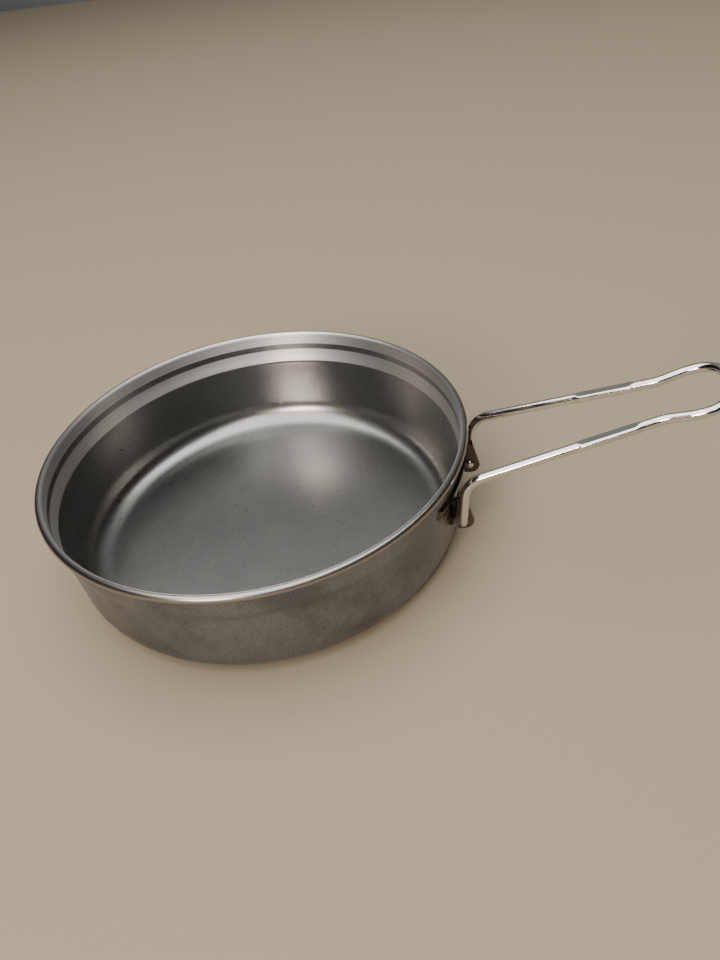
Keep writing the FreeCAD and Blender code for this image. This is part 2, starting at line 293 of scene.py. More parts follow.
def add_node(tree: bpy.types.NodeTree, kind: str, settings: dict | None = None,
             values: dict | None = None, links: dict | None = None) -> bpy.types.Node:
    """Adds a shader node with its settings, its fixed inputs and the sockets that feed it.

    Args:
        tree: the material's or world's nodes.
        kind: Blender's name for the node.
        settings: its own properties by name.
        values: input values, by input name or number.
        links: sockets to join, by input name or number.

    Returns:
        The node.
    """
    node = tree.nodes.new(kind)
    for name, value in (settings or {}).items():
        setattr(node, name, value)
    for name, value in (values or {}).items():
        node.inputs[name].default_value = value
    for name, socket in (links or {}).items():
        tree.links.new(socket, node.inputs[name])
    return node


def fade(tree: bpy.types.NodeTree, value: bpy.types.NodeSocket, low: float, high: float,
         start: float, end: float) -> bpy.types.NodeSocket:
    """A value stretched smoothly from one range to another and held at its ends.

    Args:
        tree: the material's nodes.
        value: the socket to stretch.
        low: where the stretch starts.
        high: where it ends.
        start: the result at low.
        end: the result at high.

    Returns:
        The stretched value.
    """
    node = add_node(tree, "ShaderNodeMapRange", {"interpolation_type": "SMOOTHSTEP"},
                    {"From Min": low, "From Max": high, "To Min": start, "To Max": end},
                    {"Value": value})
    return node.outputs["Result"]


def begin(name: str) -> tuple[bpy.types.Material, bpy.types.NodeTree, bpy.types.Node]:
    """A new material with an empty principled shader.

    Args:
        name: the material's name.

    Returns:
        The material, its nodes and its shader.
    """
    material = bpy.data.materials.new(name)
    material.use_nodes = True
    tree = material.node_tree
    return material, tree, tree.nodes["Principled BSDF"]


@dataclass(frozen=True)
class BlastedTitanium:
    """Sheet titanium blasted with fine glass beads, then handled: soft glints, partly painted into the
    colour, and a faint mottle.
    """

    name: str
    colour: str
    shade: str
    roughness: float
    roughness_spread: float
    grain_size: float
    grain_depth: float
    lathe_pitch: float
    lathe_depth: float
    sparkle: float

    def make(self) -> bpy.types.Material:
        """Mottled colour with a painted sparkle, uneven roughness, and pebbles and lathe rings as bump."""
        material, tree, shader = begin(self.name)
        place = add_node(tree, "ShaderNodeTexCoord").outputs["Object"]
        pattern = add_node(tree, "ShaderNodeUVMap", {"uv_map": "pattern"}).outputs["UV"]
        # Broad clouds a few centimetres across: the metal darkens a little where it was handled.
        cloud = add_node(tree, "ShaderNodeTexNoise", None,
                         {"Scale": 38.0, "Detail": 3.0, "Roughness": 0.55}, {"Vector": place})
        # Small stains a couple of millimetres across.
        stain = add_node(tree, "ShaderNodeTexNoise", None,
                         {"Scale": 420.0, "Detail": 4.0, "Roughness": 0.6}, {"Vector": place})
        # Pebbles left by the blasting beads.
        grain = add_node(tree, "ShaderNodeTexNoise", None,
                         {"Scale": 1.0 / self.grain_size, "Detail": 2.0, "Roughness": 0.5},
                         {"Vector": place})
        mix = add_node(tree, "ShaderNodeMath", {"operation": "MULTIPLY_ADD"}, {1: 0.45},
                       {0: stain.outputs["Fac"], 2: fade(tree, cloud.outputs["Fac"], 0.3, 0.7, 0, 0.55)})
        tint = add_node(tree, "ShaderNodeMix", {"data_type": "RGBA"},
                        {6: linear(self.shade), 7: linear(self.colour)},
                        {0: fade(tree, mix.outputs[0], 0.2, 0.8, 0.0, 1.0)})
        # The lathe's rings: noise packed close along the profile and drawn out around the pan.
        split = add_node(tree, "ShaderNodeSeparateXYZ", None, None, {0: pattern})
        pitch = add_node(tree, "ShaderNodeMath", {"operation": "DIVIDE"}, {1: self.lathe_pitch},
                         {0: split.outputs["Y"]})
        sweep = add_node(tree, "ShaderNodeMath", {"operation": "MULTIPLY"}, {1: 14.0},
                         {0: split.outputs["X"]})
        stretched = add_node(tree, "ShaderNodeCombineXYZ", None, None,
                             {0: sweep.outputs[0], 1: pitch.outputs[0]})
        rings = add_node(tree, "ShaderNodeTexNoise", None,
                         {"Scale": 1.0, "Detail": 2.0, "Roughness": 0.6}, {"Vector": stretched.outputs[0]})
        ring_bump = add_node(tree, "ShaderNodeBump", None,
                             {"Strength": 1.0, "Distance": self.lathe_depth},
                             {"Height": rings.outputs["Fac"]})
        grain_bump = add_node(tree, "ShaderNodeBump", None,
                              {"Strength": 1.0, "Distance": self.grain_depth},
                              {"Height": grain.outputs["Fac"], "Normal": ring_bump.outputs["Normal"]})
        rough = fade(tree, stain.outputs["Fac"], 0.25, 0.75, self.roughness - self.roughness_spread,
                     self.roughness + self.roughness_spread)
        # Painted glints: the grain brightens or darkens each pebble's colour, standing in for the light it
        # catches or loses, which the eye reads as a fine sparkle.
        painted_glint = add_node(tree, "ShaderNodeHueSaturation", None, None,
                         {"Color": tint.outputs[2], "Value": fade(
                             tree, grain.outputs["Fac"], 0.35, 0.65, 1 - self.sparkle, 1 + self.sparkle)})
        tree.links.new(painted_glint.outputs["Color"], shader.inputs["Base Color"])
        tree.links.new(rough, shader.inputs["Roughness"])
        tree.links.new(grain_bump.outputs["Normal"], shader.inputs["Normal"])
        shader.inputs["Metallic"].default_value = 1.0
        return material


@dataclass(frozen=True)
class BurnishedTitanium:
    """Titanium polished by rolling or drawing: clear reflections broken by fine lengthwise lines."""

    name: str
    colour: str
    roughness: float
    line_depth: float
    across: float
    along: float

    def make(self) -> bpy.types.Material:
        """Fine drawn lines as bump and roughness, over a faint change of colour."""
        material, tree, shader = begin(self.name)
        pattern = add_node(tree, "ShaderNodeUVMap", {"uv_map": "pattern"}).outputs["UV"]
        place = add_node(tree, "ShaderNodeTexCoord").outputs["Object"]
        stretched = add_node(tree, "ShaderNodeMapping", None,
                             {"Scale": (self.across, self.along, 1.0)}, {"Vector": pattern})
        lines = add_node(tree, "ShaderNodeTexNoise", None,
                         {"Scale": 1.0, "Detail": 3.0, "Roughness": 0.6},
                         {"Vector": stretched.outputs["Vector"]})
        smear = add_node(tree, "ShaderNodeTexNoise", None,
                         {"Scale": 160.0, "Detail": 3.0, "Roughness": 0.6}, {"Vector": place})
        tone = add_node(tree, "ShaderNodeHueSaturation", None, {"Color": linear(self.colour)},
                        {"Value": fade(tree, smear.outputs["Fac"], 0.3, 0.7, 0.92, 1.04)})
        bump = add_node(tree, "ShaderNodeBump", None, {"Strength": 1.0, "Distance": self.line_depth},
                        {"Height": lines.outputs["Fac"]})
        rough = fade(tree, smear.outputs["Fac"], 0.3, 0.7, self.roughness * 0.8, self.roughness * 1.3)
        tree.links.new(tone.outputs["Color"], shader.inputs["Base Color"])
        tree.links.new(rough, shader.inputs["Roughness"])
        tree.links.new(bump.outputs["Normal"], shader.inputs["Normal"])
        shader.inputs["Metallic"].default_value = 1.0
        return material


@dataclass(frozen=True)
class SpunTitanium:
    """Titanium rubbed round and round by a roller: its grooves spread light up and down the wall."""

    name: str
    colour: str
    roughness: float
    stretch: float
    groove_pitch: float
    groove_depth: float

    def make(self) -> bpy.types.Material:
        """A directional gloss along the profile, over grooves that run around the pan."""
        material, tree, shader = begin(self.name)
        pattern = add_node(tree, "ShaderNodeUVMap", {"uv_map": "pattern"}).outputs["UV"]
        # Grooves: noise squeezed along the profile and drawn out around the pan, as bump and as painted
        # shade and highlight in the colour, so that they darken and catch the light in long, thin streaks.
        squeezed = add_node(tree, "ShaderNodeMapping", None,
                            {"Scale": (6.0, 1.0 / self.groove_pitch, 1.0)}, {"Vector": pattern})
        grooves = add_node(tree, "ShaderNodeTexNoise", None,
                           {"Scale": 1.0, "Detail": 3.0, "Roughness": 0.7},
                           {"Vector": squeezed.outputs["Vector"]})
        tone = add_node(tree, "ShaderNodeHueSaturation", None, {"Color": linear(self.colour)},
                        {"Value": fade(tree, grooves.outputs["Fac"], 0.3, 0.7, 0.9, 1.05)})
        bump = add_node(tree, "ShaderNodeBump", None,
                        {"Strength": 1.0, "Distance": self.groove_depth},
                        {"Height": grooves.outputs["Fac"]})
        tangent = add_node(tree, "ShaderNodeTangent", {"direction_type": "UV_MAP", "uv_map": "pattern"})
        tree.links.new(tone.outputs["Color"], shader.inputs["Base Color"])
        tree.links.new(bump.outputs["Normal"], shader.inputs["Normal"])
        tree.links.new(tangent.outputs["Tangent"], shader.inputs["Tangent"])
        shader.inputs["Roughness"].default_value = self.roughness
        shader.inputs["Anisotropic"].default_value = self.stretch
        # A quarter turn, so the gloss spreads across the grooves and not along them.
        shader.inputs["Anisotropic Rotation"].default_value = 0.25
        shader.inputs["Metallic"].default_value = 1.0
        return material


class Place(IntEnum):
    """Where a finish lies on the pan: the order of its material slots."""

    INSIDE = 0
    OUTSIDE = 1
    BEAD = 2
    LEDGE = 3


@dataclass(frozen=True)
class Finishes:
    """Every finish, each named for its metal and how it was worked."""

    # Inside: satin from a fine blast, smooth enough to hold soft-edged reflections.
    inside: BlastedTitanium = BlastedTitanium(
        "Satin blasted titanium, inside", "9B9B9A", "949493", roughness=0.28, roughness_spread=0.008,
        grain_size=1.6 * MM, grain_depth=0.001 * MM, lathe_pitch=1.2 * MM, lathe_depth=0.001 * MM,
        sparkle=0.01)
    # Outside: a coarser blast that breaks the light into a dull, clouded sparkle, partly painted into the
    # colour.
    outside: BlastedTitanium = BlastedTitanium(
        "Coarse blasted titanium, outside", "888A92", "6E7078", roughness=0.36, roughness_spread=0.05,
        grain_size=0.6 * MM, grain_depth=0.06 * MM, lathe_pitch=0.7 * MM, lathe_depth=0.008 * MM,
        sparkle=0.12)
    # Rolled edge: polished by the roller, so it draws a thin bright line round the rim.
    bead: SpunTitanium = SpunTitanium(
        "Rolled titanium bead", "A5A29D", roughness=0.3, stretch=0.6, groove_pitch=0.4 * MM,
        groove_depth=0.002 * MM)
    # Ledge and upper collar: rubbed bands, their base colour lifted near white as a painted highlight, so
    # that they stay lighter than the blasted wall at every angle.
    ledge: SpunTitanium = SpunTitanium(
        "Spun titanium ledge, painted highlight", "E6E4E0", roughness=0.48, stretch=0.88, groove_pitch=0.5 * MM,
        groove_depth=0.004 * MM)
    # Bracket: clean pressed sheet, its base colour darkened well below the pan's as painted shade, so that
    # it looks near-black wherever it mirrors the dark.
    bracket: BurnishedTitanium = BurnishedTitanium(
        "Pressed titanium bracket, darkened as painted shade", "665F58", roughness=0.25, line_depth=0.003 * MM, across=900.0,
        along=60.0)
    # Wire: drawn and polished, with faint lines along it and sharp white highlights.
    wire: BurnishedTitanium = BurnishedTitanium(
        "Polished drawn titanium wire", "DEDBD6", roughness=0.13, line_depth=0.003 * MM, across=7000.0,
        along=40.0)


# ---------------------------------------------------------------------------------------------
# The pan
# ---------------------------------------------------------------------------------------------


@dataclass
class PanShell:
    """One drawn sheet turned about Z: base, corner, leaning wall, ledge, collar and rolled bead.

    band_start and band_over say how far above the ledge's foot and its top the rubbed band runs;
    rolled_depth is the depth of the collar's own band; ease_bend softens the wall's meeting with
    the ledge; pole is the small radius where the turned section stops short of the axis.
    """

    rim: float = min(PAN_HIGH.x, PAN_HIGH.y, -PAN_LOW.x, -PAN_LOW.y)
    height: float = PAN_HIGH.z
    sheet: float = 0.6 * MM
    bead: float = 1.2 * MM
    ledge_step: float = 1.1 * MM
    draft: float = 1.6 * MM
    corner: float = 9.5 * MM
    ledge_drop: float = 7.0 * MM
    ledge_height: float = 6.5 * MM
    band_start: float = 1.6 * MM
    band_over: float = 0.5 * MM
    rolled_depth: float = 4.6 * MM
    ease_bend: float = 18 * MM
    lip_bend: float = 0.25 * MM
    pole: float = 0.2 * MM
    run_step: float = 1.3 * MM
    arc_step: float = 0.11
    columns: int = 300

    @property
    def shoulder(self) -> tuple[float, float]:
        """Radius and height, outside, where the wall meets the ledge."""
        return (self.rim - 2 * self.bead + self.sheet - self.ledge_step,
                self.height - self.ledge_drop - self.ledge_height)

    def wall_radius(self, height: Points) -> Points:
        """Outside radius of the wall at each height: a leaning line, then the ledge's two arcs.

        The ledge's arcs share one radius R = (step^2 + rise^2) / (4 step) and meet halfway, so
        each stands out by R - sqrt(R^2 - t^2) at a distance t from its own end.

        Args:
            height: heights above the base plane.

        Returns:
            The radius at each height.
        """
        radius, level = self.shoulder
        turn = (self.ledge_step ** 2 + self.ledge_height ** 2) / (4 * self.ledge_step)
        rise = np.clip(height - level, 0, self.ledge_height)
        near = turn - np.sqrt(turn ** 2 - np.minimum(rise, self.ledge_height / 2) ** 2)
        rest = np.minimum(self.ledge_height - rise, self.ledge_height / 2)
        far = self.ledge_step - (turn - np.sqrt(turn ** 2 - rest ** 2))
        lean = radius - self.draft * (level - np.minimum(height, level)) / level
        return lean + np.where(rise <= self.ledge_height / 2, near, far)

    def outline(self) -> tuple[Trace, Numbers]:
        """The sheet's section, from the middle of the floor round to the middle of the base.

        Returns:
            The section as radius, 0, height; and the finish of each of its stretches.
        """
        radius, level = self.shoulder
        collar = radius + self.ledge_step
        top = self.height - self.ledge_drop
        # Two equal tangent arcs meet halfway where the tangent's length is half the corner's run.
        half_rise = self.ledge_height / 2
        run = ((self.ledge_step / 2) ** 2 + half_rise ** 2) / (2 * half_rise)
        turn = (self.ledge_step ** 2 + self.ledge_height ** 2) / (4 * self.ledge_step) * 0.999
        # The wall's lean eases into the ledge over a long bend, which takes its share of the run.
        eased = turn * (1 - self.ease_bend * math.tan(math.atan(self.draft / level) / 2) / run)
        roll = self.bead - self.sheet
        middle = self.rim - self.bead
        lip = self.lip_bend

        def side(inset: float, floor: float) -> list[tuple[float, float, float]]:
            """Corners of one face of the wall, bottom to top: radius, height and bend."""
            foot = radius - self.draft * (level - floor) / level
            return [(foot - inset, floor, self.corner - inset), (radius - inset, level, self.ease_bend),
                    (radius - inset, level + run, eased), (collar - inset, top - run, turn)]

        inner = side(self.sheet, self.sheet)
        outer = side(0.0, 0.0)[::-1]
        bead = [(collar - self.sheet, self.height, self.bead), (self.rim, self.height, self.bead),
                (self.rim, self.height - 2 * self.bead, self.bead),
                (middle, self.height - 2 * self.bead, lip),
                (middle, self.height - self.bead - roll, lip),
                (middle + roll, self.height - self.bead - roll, roll),
                (middle + roll, self.height - self.bead + roll, roll),
                (collar, self.height - self.bead + roll, roll)]
        corners = np.array([(self.pole, self.sheet, 0.0), *inner, *bead, *outer, (self.pole, 0.0, 0.0)])
        places = np.stack([corners[:, 0], np.zeros(len(corners)), corners[:, 1]], -1)
        trace = rounded_trace(places, corners[:, 2], np.array([0.0, 0.0, 1.0]), self.run_step,
                              self.arc_step)
        middles = (trace.points[1:] + trace.points[:-1]) / 2
        # Past its highest point the section is on the outside of the pan.
        outside = np.arange(len(middles)) > int(np.argmax(middles[:, 2]))
        # The bead's own finish starts just inside its crest and takes in the curl beneath it.
        near_top = middles[:, 2] > self.height - 2.2 * self.bead
        on_bead = near_top & (middles[:, 0] > self.rim - 1.3 * self.bead)
        # The ledge band and the top of the collar take the ledge's near-white finish, which is partly a
        # painted highlight.
        on_ledge = (middles[:, 2] > level + self.band_start) & (middles[:, 2] < top + self.band_over)
        rolled = middles[:, 2] > self.height - self.rolled_depth
        slots = np.where(on_ledge, Place.LEDGE, Place.INSIDE)
        slots = np.where(outside, Place.OUTSIDE, np.where(rolled, Place.LEDGE, slots))
        slots = np.where(on_bead, Place.BEAD, slots)
        return trace, slots

    def build(self, finishes: Finishes) -> bpy.types.Object:
        """Turns the section about Z: x = r cos a, y = r sin a, z = h, with a pole at each centre.

        Args:
            finishes: the finishes, of which the pan takes four.

        Returns:
            The pan's piece.
        """
        trace, slots = self.outline()
        angle = np.linspace(0, 2 * np.pi, self.columns + 1)
        spin = np.stack([np.cos(angle[:-1]), np.sin(angle[:-1])], -1)
        rings = np.empty((len(trace.points), self.columns, 3))
        rings[..., :2] = trace.points[:, None, :1] * spin[None]
        rings[..., 2] = trace.points[:, None, 2]
        skin = Skin("pan_drawn_sheet")
        skin.rings(rings, angle * self.rim, trace.travel, slots)
        lies = {Place.INSIDE: finishes.inside, Place.OUTSIDE: finishes.outside,
                Place.BEAD: finishes.bead, Place.LEDGE: finishes.ledge}
        piece = skin.build([lies[place].make() for place in Place])
        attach(piece, "pan")
        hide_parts("pan_shell")
        return piece


# ---------------------------------------------------------------------------------------------
# The bracket
# ---------------------------------------------------------------------------------------------


@dataclass
class Bracket:
    """One pressed sheet on the wall: two wings, a centre tongue, and two ears bent out of it.

    The pivot is x and z of the hinge, and the bore is the radius of the holes. An ear's tab rises
    by ear_rise and leans out by ear_lean; its roof falls outward by roof_slope. The plate reaches
    from below the pivot to its top, and its wings lose taper of their width down their sides.
    """

    pan: PanShell
    sheet: float = 1.0 * MM
    ear_gap: float = 26.6 * MM
    pivot: tuple[float, float] = (68.95 * MM, 17.5 * MM)
    bore: float = 1.58 * MM
    lug: float = 3.4 * MM
    ear_rise: float = 7.9 * MM
    ear_lean: float = 1.35 * MM
    bend: float = 1.6 * MM
    top: float = 30.4 * MM
    side: float = 3.6 * MM
    below: float = 3.9 * MM
    wing: float = 10.7 * MM
    taper: float = 13.0 * MM
    slot: float = 5.4 * MM
    roof_slope: float = 0.26
    bend_steps: int = 12
    ear_rings: int = 7
    ear_spokes: int = 144
    side_rows: int = 18
    top_rows: int = 8
    columns: int = 14
    strip_columns: int = 24
    edge_round: float = 0.12 * MM

    def on_wall(self, across: Points, height: Points, lift: float) -> Points:
        """Places on the wall: at lift above its outside, x = sqrt((r(z) + lift)^2 - y^2).

        Args:
            across: y of each place.
            height: z of each place.
            lift: distance off the wall's outside.

        Returns:
            The places.
        """
        radius = self.pan.wall_radius(height) + lift
        return np.stack([np.sqrt(radius ** 2 - across ** 2), across, height], -1)

    def patch(self, skin: Skin, low: Points, high: Points, heights: Points, columns: int) -> None:
        """A curved piece of the plate between two side lines, a sheet's thickness off the wall.

        Args:
            skin: the mesh being gathered.
            low: y of one side at each height.
            high: y of the other side at each height.
            heights: the heights.
            columns: how many places across.
        """
        share = np.linspace(0, 1, columns)
        across = low[:, None] + (high - low)[:, None] * share
        level = np.repeat(heights[:, None], columns, axis=1)
        skin.slab(self.on_wall(across, level, self.sheet), self.on_wall(across, level, WELD_GAP))

    def bend_line(self, heights: Points, side: float) -> tuple[Points, Points]:
        """Centre of the bend between wing and ear at each height, and the wing's slope there.

        Args:
            heights: the heights.
            side: +1 or -1, which ear.

        Returns:
            The centres, and the angle by which the wing turns away from the Y axis.
        """
        face = self.ear_gap / 2 + self.sheet + self.bend
        radius = self.pan.wall_radius(heights) + self.sheet + self.bend
        slope = np.arcsin(face / radius)
        centre = np.stack([radius * np.cos(slope), np.full(len(heights), side * face), heights], -1)
        return centre, slope

    def add_bend(self, skin: Skin, heights: Points, side: float) -> None:
        """The quarter roll from wing to ear: centre - R (cos b, sin b), b from the slope to 90.

        Args:
            skin: the mesh being gathered.
            heights: the heights.
            side: +1 or -1, which ear.
        """
        centre, slope = self.bend_line(heights, side)
        share = np.linspace(0, 1, self.bend_steps)
        angle = slope[:, None] + (np.pi / 2 - slope[:, None]) * share
        aim = np.stack([-np.cos(angle), -side * np.sin(angle), np.zeros(angle.shape)], -1)
        front = centre[:, None] + aim * self.bend
        back = centre[:, None] + aim * (self.bend + self.sheet - WELD_GAP)
        order = slice(None, None, -1) if side > 0 else slice(None)
        skin.slab(front[:, order], back[:, order])

    def ear_rim(self, angle: Points, root: Points) -> Points:
        """Distance from the pivot to the ear's edge in each direction.

        The ear is a half-round lug below, and above it a tab with straight sides; the edge is
        the nearest of the tab's four straight lines, or the lug's circle below the pivot.

        Args:
            angle: directions in the XZ plane, from +X towards +Z.
            root: x of the ear's root, one for each direction.

        Returns:
            The distances.
        """
        across = np.cos(angle)
        up = np.sin(angle)
        lean = math.atan2(self.lug - self.ear_lean, self.ear_rise)
        out = self.lug * math.cos(lean) / np.maximum(across * math.cos(lean) + up * math.sin(lean), 1e-6)
        roof_rise = self.ear_rise + self.roof_slope * self.ear_lean
        roof = roof_rise / np.maximum(up + self.roof_slope * across, 1e-6)
        foot = self.lug / np.maximum(-up, 1e-6)
        back = (self.pivot[0] - root) / np.maximum(-across, 1e-6)
        straight = np.minimum(np.minimum(out, roof), np.minimum(foot, back))
        round_part = (up < 0) & (across > 0)
        return np.where(round_part, np.minimum(self.lug, straight), straight)

    def add_ear(self, skin: Skin, side: float) -> None:
        """A flat ear about its pivot hole: rings from the hole's wall out to the ear's edge.

        Args:
            skin: the mesh being gathered.
            side: +1 or -1, which ear.
        """
        angle = np.linspace(0, 2 * np.pi, self.ear_spokes + 1)[:-1]
        # Spokes below the lug's foot take their root from the foot's height.
        height = self.pivot[1] + self.ear_rise * np.clip(np.sin(angle), -0.45, 1)
        centre, _ = self.bend_line(height, side)
        rim = self.ear_rim(angle, centre[:, 0])
        share = np.linspace(0, 1, self.ear_rings)[:, None]
        reach = self.bore + (rim - self.bore) * share
        x = self.pivot[0] + reach * np.cos(angle)
        z = self.pivot[1] + reach * np.sin(angle)
        near = np.full(x.shape, side * self.ear_gap / 2)
        far = np.full(x.shape, side * (self.ear_gap / 2 + self.sheet))
        inner = np.stack([x, near, z], -1)
        outer = np.stack([x, far, z], -1)
        if side > 0:
            skin.slab(outer, inner, wrap=True)
        else:
            skin.slab(outer[:, ::-1], inner[:, ::-1], wrap=True)

    def build(self, finishes: Finishes) -> bpy.types.Object:
        """Wings, tongue, top strip, bends and ears gathered as one piece with softened edges.

        Args:
            finishes: the finishes, of which the bracket takes its own.

        Returns:
            The bracket's piece.
        """
        skin = Skin("bracket_pressed_sheet")
        low = self.pivot[1] - self.below
        ear_top = self.pivot[1] + self.ear_rise
        face = self.ear_gap / 2 + self.sheet
        half = face + self.wing
        bend_start = face + self.bend * (1 - math.sin(math.asin(face / self.pan.rim)))
        inner = self.ear_gap / 2 - self.slot
        slanted = np.linspace(low, self.top - self.side, self.side_rows)
        upper = np.linspace(self.top - self.side, self.top, self.top_rows)[1:]
        heights = np.concatenate([slanted, upper])
        tip = half - self.taper * np.clip((self.top - self.side - heights) / (
            self.top - self.side - low), 0, 1)
        wing_rows = tip > bend_start + 0.2 * MM
        for side in (1.0, -1.0):
            edges = np.stack([np.full(wing_rows.sum(), side * bend_start), side * tip[wing_rows]], -1)
            edges.sort(axis=1)
            self.patch(skin, edges[:, 0], edges[:, 1], heights[wing_rows], self.columns)
            # The bend runs a little past the wing's foot and past the ear's top.
            foot = float(heights[wing_rows][0]) - 1.2 * MM
            self.add_bend(skin, np.linspace(foot, ear_top + 0.6 * MM, self.side_rows), side)
            self.add_ear(skin, side)
        for start, end, rows, reach, columns in (
                (low, ear_top, self.columns, inner, self.columns),
                (ear_top, self.top, self.top_rows, bend_start, self.strip_columns)):
            sides = np.full(rows, reach)
            self.patch(skin, -sides, sides, np.linspace(start, end, rows), columns)
        piece = skin.build([finishes.bracket.make()], crease=math.radians(35))
        bevel = piece.modifiers.new("softened edges", "BEVEL")
        bevel.width = self.edge_round
        bevel.segments = 2
        bevel.limit_method = "ANGLE"
        bevel.angle_limit = math.radians(50)
        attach(piece, "pan")
        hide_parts("handle_bracket")
        return piece


# ---------------------------------------------------------------------------------------------
# The handle
# ---------------------------------------------------------------------------------------------


@dataclass
class HandleWire:
    """One round wire: ends turned in as pivots, legs bent at the elbow, a looped end, and flats.

    The wire's size is its radius. The pivot and the elbow's corner are x and z; the stub and the
    leg are distances from the middle plane; the neck, opened and end are places past the elbow,
    along the tilted handle and aside from its middle.
    """

    wire: float = 1.495 * MM
    pivot: tuple[float, float] = (68.95 * MM, 17.5 * MM)
    stub: float = 12.6 * MM
    leg: float = 16.3 * MM
    foot_bend: float = 1.9 * MM
    elbow: tuple[float, float] = (70.35 * MM, 34.05 * MM)
    elbow_bend: float = 8.0 * MM
    tilt: float = math.radians(18.7)
    neck: tuple[float, float] = (56.7 * MM, 9.2 * MM)
    neck_bend: float = 12.0 * MM
    opened: tuple[float, float] = (64.5 * MM, 10.8 * MM)
    end: tuple[float, float] = (74.5 * MM, 10.8 * MM)
    end_bend: float = 7.5 * MM
    flat_start: float = 33.3 * MM
    flat_length: float = 17.7 * MM
    flat_width: float = 3.5 * MM
    flat_height: float = 2.4 * MM
    flat_ramp: float = 1.6 * MM
    chamfer: float = 0.35 * MM
    chamfer_shrink: float = 0.22
    run_step: float = 0.45 * MM
    arc_step: float = 0.09
    columns: int = 40

    def centreline(self) -> Trace:
        """The wire's centreline from one turned-in end to the other, and its upper side."""
        along = np.array([math.cos(self.tilt), 0.0, math.sin(self.tilt)])
        aside = np.array([0.0, 1.0, 0.0])
        pivot = np.array([self.pivot[0], 0.0, self.pivot[1]])
        elbow = np.array([self.elbow[0], 0.0, self.elbow[1]])
        half = [(pivot + aside * self.stub, 0.0), (pivot + aside * self.leg, self.foot_bend),
                (elbow + aside * self.leg, self.elbow_bend)]
        half += [(elbow + along * reach + aside * spread, bend) for (reach, spread), bend in (
            (self.neck, self.neck_bend), (self.opened, self.neck_bend), (self.end, self.end_bend))]
        mirror = np.array([1.0, -1.0, 1.0])
        full = half + [(place * mirror, bend) for place, bend in reversed(half)]
        corners = np.array([place for place, _ in full])
        bends = np.array([bend for _, bend in full])
        return rounded_trace(corners, bends, np.array([-1.0, 0.0, 0.0]), self.run_step, self.arc_step)

    def pressed(self, points: Points) -> Points:
        """How far each point of the centreline is pressed flat, from 0 to 1.

        The distance past the elbow's corner, measured along the leg, is compared with the flat's
        two ends, and each end fades over the ramp's length by 3t^2 - 2t^3.

        Args:
            points: the centreline.

        Returns:
            The share pressed at each point.
        """
        reach = (points[:, 0] - self.elbow[0]) / math.cos(self.tilt)
        reach = reach * math.hypot(self.neck[0], self.leg - self.neck[1]) / self.neck[0]
        inside = np.minimum(reach - self.flat_start, self.flat_start + self.flat_length - reach)
        share = np.clip(inside / self.flat_ramp, 0, 1)
        return share * share * (3 - 2 * share)

    def build(self, finishes: Finishes) -> bpy.types.Object:
        """Carries a rounded section along the centreline.

        The section is |x/a|^n + |y/b|^n = 1: a circle where n is 2 and a = b, and a flattened
        oval with n = 3.6 where the wire is pressed. Both ends shrink over a small chamfer.

        Args:
            finishes: the finishes, of which the wire takes its own.

        Returns:
            The handle's piece.
        """
        trace = self.centreline()
        travel = trace.travel
        aims = np.gradient(trace.points, axis=0)
        aims /= np.linalg.norm(aims, axis=1)[:, None]
        ups = trace.sides - aims * np.sum(trace.sides * aims, axis=1)[:, None]
        ups /= np.linalg.norm(ups, axis=1)[:, None]
        rights = np.cross(aims, ups)
        flat = self.pressed(trace.points)
        end = np.minimum(travel, travel[-1] - travel)
        shrink = 1 - self.chamfer_shrink * (1 - np.clip(end / self.chamfer, 0, 1)) ** 2
        wide = (self.wire + (self.flat_width / 2 - self.wire) * flat) * shrink
        high = (self.wire + (self.flat_height / 2 - self.wire) * flat) * shrink
        power = 2 + 1.6 * flat
        turn = np.linspace(0, 2 * np.pi, self.columns + 1)
        cosine = np.cos(turn[:-1])
        sine = np.sin(turn[:-1])
        shape = 2 / power[:, None]
        across = wide[:, None] * np.sign(cosine) * np.abs(cosine) ** shape
        upward = high[:, None] * np.sign(sine) * np.abs(sine) ** shape
        rings = (trace.points[:, None] + rights[:, None] * across[..., None]
                 + ups[:, None] * upward[..., None])
        skin = Skin("handle_bent_wire")
        skin.rings(rings, turn * self.wire, travel, np.zeros(len(travel) - 1, int))
        piece = skin.build([finishes.wire.make()])
        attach(piece, "handle")
        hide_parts("handle_wire")
        return piece


# ---------------------------------------------------------------------------------------------
# Floor, light and camera
# ---------------------------------------------------------------------------------------------


@dataclass(frozen=True)
class SoftLight:
    """A rectangular soft light: where it hangs, what it faces, its size, its watts and its colour."""

    name: str
    place: tuple[float, float, float]
    aim: tuple[float, float, float]
    size: tuple[float, float]
    power: float
    colour: str

    def build(self) -> None:
        """Adds the light to the scene, turned to face its aim."""
        data = bpy.data.lights.new(self.name, "AREA")
        data.shape = "RECTANGLE"
        data.size, data.size_y = self.size
        data.energy = self.power
        data.color = linear(self.colour)[:3]
        light = bpy.data.objects.new(self.name, data)
        light.location = self.place
        toward = Vector(self.aim) - Vector(self.place)
        light.rotation_euler = toward.to_track_quat("-Z", "Y").to_euler()
        bpy.context.scene.collection.objects.link(light)


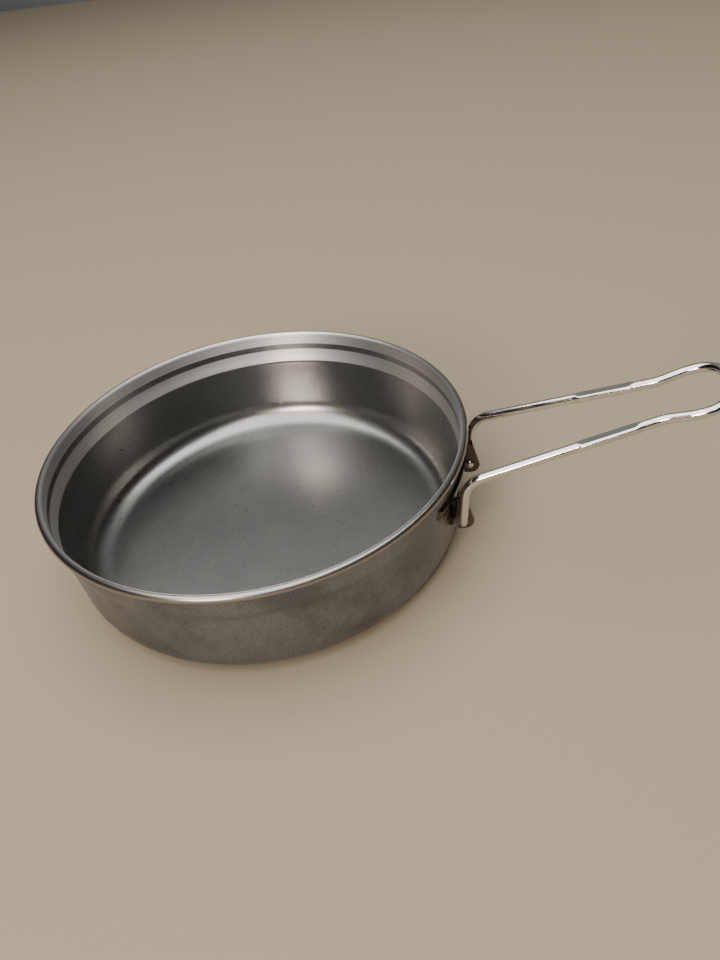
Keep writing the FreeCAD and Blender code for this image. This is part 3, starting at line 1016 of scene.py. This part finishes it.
@dataclass
class Studio:
    """A plain pale floor, soft light from above and from behind the camera, and the camera.

    The eye is the camera's place, and right and up are the picture's own directions. The room is
    the dark all round, and pale_side is the direction of the pale wall's middle.
    """

    eye: tuple[float, float, float] = (0.0880, -0.1894, 0.1810)
    right: tuple[float, float, float] = (0.9770, 0.1745, -0.1226)
    up: tuple[float, float, float] = (-0.0186, 0.6425, 0.7660)
    lens: float = 28.8
    room: str = "1E1C1A"
    pale_wall: str = "8A8B8A"
    pale_side: tuple[float, float, float] = (-0.222, 0.864, 0.452)
    floor_colour: str = "A2967F"
    floor_half: float = 1.6
    ceiling: SoftLight = SoftLight("ceiling", (-0.1, -0.35, 1.45), (-0.1, -0.349, 0.0), (1.6, 2.4),
                                   42.0, "FFFDFA")
    lamp: SoftLight = SoftLight("lamp", (-0.29, -1.4, 0.75), (0.0, 0.0, 0.0), (0.5, 0.42), 16.0, "FFEFE0")

    def add_camera(self) -> None:
        """Places the camera from its two picture directions and makes it the scene's own."""
        right = Vector(self.right).normalized()
        back = right.cross(Vector(self.up)).normalized()
        up = back.cross(right)
        turned = Matrix((right, up, back)).transposed().to_4x4()
        data = bpy.data.cameras.new("camera")
        data.lens = self.lens
        data.sensor_width = 36.0
        data.clip_start = 0.01
        data.clip_end = 20.0
        camera = bpy.data.objects.new("camera", data)
        camera.matrix_world = Matrix.Translation(Vector(self.eye)) @ turned
        bpy.context.scene.collection.objects.link(camera)
        bpy.context.scene.camera = camera

    def add_floor(self) -> None:
        """One large pale square at the base plane."""
        half = self.floor_half
        mesh = bpy.data.meshes.new("floor")
        corners = [(-half, -half, 0.0), (half, -half, 0.0), (half, half, 0.0), (-half, half, 0.0)]
        mesh.from_pydata(corners, [], [(0, 1, 2, 3)])
        material, _, shader = begin("Pale matt floor")
        shader.inputs["Base Color"].default_value = linear(self.floor_colour)
        shader.inputs["Roughness"].default_value = 0.7
        mesh.materials.append(material)
        floor = bpy.data.objects.new("floor", mesh)
        bpy.context.scene.collection.objects.link(floor)

    def add_world(self) -> None:
        """A dim room: darker low down, with a cool grey light from the far side."""
        world = bpy.data.worlds.new("room")
        world.use_nodes = True
        tree = world.node_tree
        shell = tree.nodes["Background"]
        way = add_node(tree, "ShaderNodeTexCoord").outputs["Generated"]
        # How nearly a direction points at the pale wall beyond the pan.
        facing = add_node(tree, "ShaderNodeVectorMath", {"operation": "DOT_PRODUCT"},
                          {1: self.pale_side}, {0: way})
        tint = add_node(tree, "ShaderNodeMix", {"data_type": "RGBA"},
                        {6: linear(self.room), 7: linear(self.pale_wall)},
                        {0: fade(tree, facing.outputs["Value"], 0.72, 0.98, 0.0, 1.0)})
        tree.links.new(tint.outputs[2], shell.inputs["Color"])
        shell.inputs["Strength"].default_value = 1.0
        bpy.context.scene.world = world

    def build(self) -> None:
        """Adds the floor, the world, the lights and the camera."""
        self.add_floor()
        self.add_world()
        self.ceiling.build()
        self.lamp.build()
        self.add_camera()


def main() -> None:
    """Builds the pan, its bracket, its handle and the studio."""
    logging.basicConfig(level=logging.INFO, format="%(message)s")
    finishes = Finishes()
    pan = PanShell()
    for piece in (pan.build(finishes), Bracket(pan).build(finishes), HandleWire().build(finishes)):
        log.info("%s: %d vertices, %d faces", piece.name, len(piece.data.vertices), len(piece.data.polygons))
    Studio().build()


if __name__ == "__main__":
    main()
